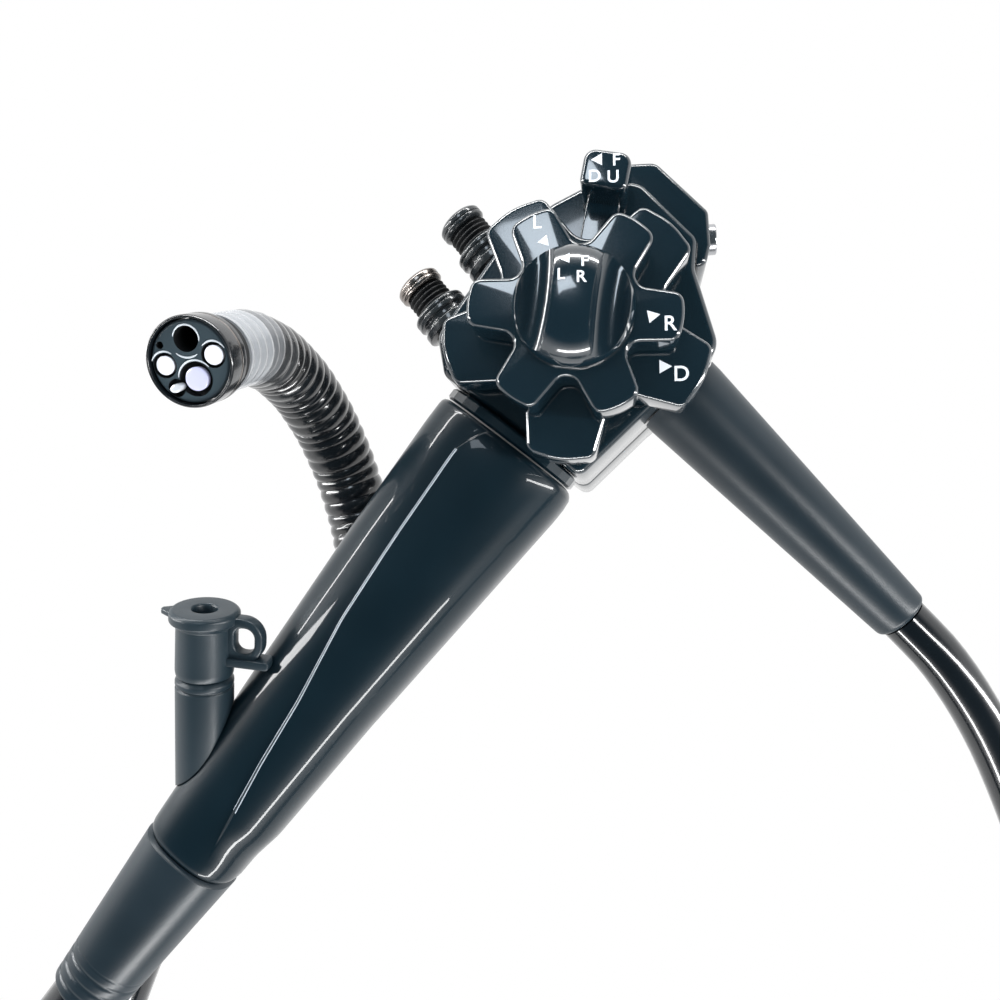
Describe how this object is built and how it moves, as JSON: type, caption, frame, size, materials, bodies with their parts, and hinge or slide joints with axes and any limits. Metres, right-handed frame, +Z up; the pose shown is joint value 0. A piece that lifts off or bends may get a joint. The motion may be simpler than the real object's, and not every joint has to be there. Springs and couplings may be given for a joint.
{
  "type": "flexible endoscope",
  "caption": "Flexible endoscope with a control head, stacked angulation knobs, valve buttons, a biopsy port, a bending tip on a long insertion tube and a cord to a light-guide connector.",
  "frame": {"origin": "on the flat side that the control head rests on, under the axis of the two angulation knobs", "axes": "+X along the grip towards the head's top, +Y towards the valves, +Z up along the knobs' axis"},
  "size_m": [0.3627, 0.3647, 0.0823],
  "materials": {
    "housing_gloss": "glossy",
    "knob_gloss": "glossy",
    "steel": "satin",
    "slate_rubber": "matt",
    "tube_black": "glossy",
    "sheath_rubber": "glossy",
    "connector_plastic": "satin",
    "connector_metal": "satin",
    "tip_plastic": "satin",
    "hood_plastic": "glossy",
    "lens_glass": "polished"
  },
  "bodies": {
    "control_body": {"head_case_lower": "housing_gloss", "head_case_upper": "housing_gloss", "chassis_plate": "steel", "centre_post": "steel", "suction_valve_cylinder": "steel", "air_valve_cylinder": "steel", "switch_block": "housing_gloss", "grip_ring": "steel", "grip_shell": "housing_gloss", "port_branch": "housing_gloss", "port_mouthpiece": "steel", "biopsy_cap": "slate_rubber", "insertion_boot": "slate_rubber", "insertion_tube_out": "tube_black", "insertion_coil": "tube_black", "insertion_tube_back": "tube_black", "bending_ferrule": "steel", "bending_rubber": "sheath_rubber", "universal_boot": "slate_rubber", "universal_cord": "tube_black", "universal_coil": "tube_black", "connector_boot": "slate_rubber", "connector_body": "connector_plastic", "light_guide_prong": "connector_metal", "video_socket": "connector_metal"},
    "ud_knob": {"ud_knob": "knob_gloss", "ud_shaft": "steel", "ud_drum": "steel"},
    "rl_knob": {"rl_knob": "knob_gloss", "rl_shaft": "steel", "rl_drum": "steel"},
    "rl_brake": {"rl_brake_dome": "knob_gloss"},
    "ud_brake": {"ud_brake_lever": "knob_gloss"},
    "suction_button": {"suction_valve_button": "knob_gloss"},
    "air_button": {"air_valve_button": "knob_gloss"},
    "freeze_button": {"freeze_switch": "knob_gloss"},
    "capture_button": {"capture_switch": "knob_gloss"},
    "corner_button": {"corner_switch": "steel"},
    "link_01": {"bending_ring_01": "steel"},
    "link_02": {"bending_ring_02": "steel"},
    "link_03": {"bending_ring_03": "steel"},
    "link_04": {"bending_ring_04": "steel"},
    "link_05": {"bending_ring_05": "steel"},
    "link_06": {"bending_ring_06": "steel"},
    "link_07": {"bending_ring_07": "steel"},
    "link_08": {"bending_ring_08": "steel"},
    "link_09": {"bending_ring_09": "steel"},
    "link_10": {"bending_ring_10": "steel"},
    "link_11": {"bending_ring_11": "steel"},
    "link_12": {"bending_ring_12": "steel", "distal_body": "tip_plastic", "distal_hood": "hood_plastic", "objective_lens": "lens_glass", "light_lens_left": "lens_glass", "light_lens_right": "lens_glass", "water_nozzle": "steel"}
  },
  "joints": [
    {"name": "ud_knob_turn", "type": "hinge", "parent": "control_body", "child": "ud_knob", "pos_m": [0, 0, 0.05], "axis": [0, 0, 1], "range_deg": [-132, 40]},
    {"name": "rl_knob_turn", "type": "hinge", "parent": "control_body", "child": "rl_knob", "pos_m": [0, 0, 0.06], "axis": [0, 0, 1], "range_deg": [-70, 40]},
    {"name": "rl_brake_turn", "type": "hinge", "parent": "control_body", "child": "rl_brake", "pos_m": [0, 0, 0.07], "axis": [0, 0, 1], "range_deg": [0, 50]},
    {"name": "ud_brake_turn", "type": "hinge", "parent": "control_body", "child": "ud_brake", "pos_m": [0, 0, 0.0455], "axis": [0, 0, 1], "range_deg": [0, 40]},
    {"name": "suction_button_press", "type": "slide", "parent": "control_body", "child": "suction_button", "axis": [-0.225, -0.9744, 0], "range_m": [0, 0.004], "stiffness_N_per_m": 400, "springref_m": -0.003},
    {"name": "air_button_press", "type": "slide", "parent": "control_body", "child": "air_button", "axis": [-0.225, -0.9744, 0], "range_m": [0, 0.004], "stiffness_N_per_m": 400, "springref_m": -0.003},
    {"name": "freeze_button_press", "type": "slide", "parent": "control_body", "child": "freeze_button", "axis": [-0.9903, 0.1392, 0], "range_m": [0, 0.0008], "stiffness_N_per_m": 1500, "springref_m": -0.0005},
    {"name": "capture_button_press", "type": "slide", "parent": "control_body", "child": "capture_button", "axis": [-0.9903, 0.1392, 0], "range_m": [0, 0.0008], "stiffness_N_per_m": 1500, "springref_m": -0.0005},
    {"name": "corner_button_press", "type": "slide", "parent": "control_body", "child": "corner_button", "axis": [-0.6428, 0.766, 0], "range_m": [0, 0.0008], "stiffness_N_per_m": 1500, "springref_m": -0.0005},
    {"name": "ud_bend_01", "type": "hinge", "parent": "control_body", "child": "link_01", "pos_m": [-0.06191, 0.02289, 0.0081], "axis": [0.766, -0.6428, 0], "range_deg": [-33, 10], "deforming": ["bending_rubber"]},
    {"name": "rl_bend_02", "type": "hinge", "parent": "link_01", "child": "link_02", "pos_m": [-0.05794, 0.02763, 0.01011], "axis": [0.1986, 0.2367, -0.9511], "range_deg": [-14, 8], "deforming": ["bending_rubber"]},
    {"name": "ud_bend_03", "type": "hinge", "parent": "link_02", "child": "link_03", "pos_m": [-0.05414, 0.0325, 0.01212], "axis": [0.7869, -0.617, 0.0108], "range_deg": [-33, 10]},
    {"name": "rl_bend_04", "type": "hinge", "parent": "link_03", "child": "link_04", "pos_m": [-0.05093, 0.03667, 0.01594], "axis": [0.3694, 0.4571, -0.8091], "range_deg": [-14, 8]},
    {"name": "ud_bend_05", "type": "hinge", "parent": "link_04", "child": "link_05", "pos_m": [-0.0479, 0.04097, 0.01975], "axis": [0.8037, -0.5942, 0.0313], "range_deg": [-33, 10]},
    {"name": "rl_bend_06", "type": "hinge", "parent": "link_05", "child": "link_06", "pos_m": [-0.04575, 0.04414, 0.025], "axis": [0.4955, 0.6392, -0.5881], "range_deg": [-14, 8]},
    {"name": "ud_bend_07", "type": "hinge", "parent": "link_06", "child": "link_07", "pos_m": [-0.0438, 0.04745, 0.03025], "axis": [0.8147, -0.5768, 0.0595], "range_deg": [-33, 10]},
    {"name": "rl_bend_08", "type": "hinge", "parent": "link_07", "child": "link_08", "pos_m": [-0.04293, 0.04931, 0.03641], "axis": [0.5643, 0.7651, -0.3101], "range_deg": [-14, 8]},
    {"name": "ud_bend_09", "type": "hinge", "parent": "link_08", "child": "link_09", "pos_m": [-0.04225, 0.0513, 0.04256], "axis": [0.8188, -0.5665, 0.0925], "range_deg": [-33, 10]},
    {"name": "rl_bend_10", "type": "hinge", "parent": "link_09", "child": "link_10", "pos_m": [-0.04273, 0.05165, 0.04904], "axis": [0.5691, 0.8222, -0.0025], "range_deg": [-14, 8]},
    {"name": "ud_bend_11", "type": "hinge", "parent": "link_10", "child": "link_11", "pos_m": [-0.0434, 0.05214, 0.05548], "axis": [0.8157, -0.5642, 0.1272], "range_deg": [-33, 10]},
    {"name": "rl_bend_12", "type": "hinge", "parent": "link_11", "child": "link_12", "pos_m": [-0.04518, 0.05095, 0.06162], "axis": [0.5094, 0.805, 0.3041], "range_deg": [-14, 8]}
  ],
  "couplings": [
    {"joint": "ud_bend_01", "follows": "ud_knob_turn", "ratio": 0.25},
    {"joint": "rl_bend_02", "follows": "rl_knob_turn", "ratio": 0.2},
    {"joint": "ud_bend_03", "follows": "ud_knob_turn", "ratio": 0.25},
    {"joint": "rl_bend_04", "follows": "rl_knob_turn", "ratio": 0.2},
    {"joint": "ud_bend_05", "follows": "ud_knob_turn", "ratio": 0.25},
    {"joint": "rl_bend_06", "follows": "rl_knob_turn", "ratio": 0.2},
    {"joint": "ud_bend_07", "follows": "ud_knob_turn", "ratio": 0.25},
    {"joint": "rl_bend_08", "follows": "rl_knob_turn", "ratio": 0.2},
    {"joint": "ud_bend_09", "follows": "ud_knob_turn", "ratio": 0.25},
    {"joint": "rl_bend_10", "follows": "rl_knob_turn", "ratio": 0.2},
    {"joint": "ud_bend_11", "follows": "ud_knob_turn", "ratio": 0.25},
    {"joint": "rl_bend_12", "follows": "rl_knob_turn", "ratio": 0.2}
  ]
}
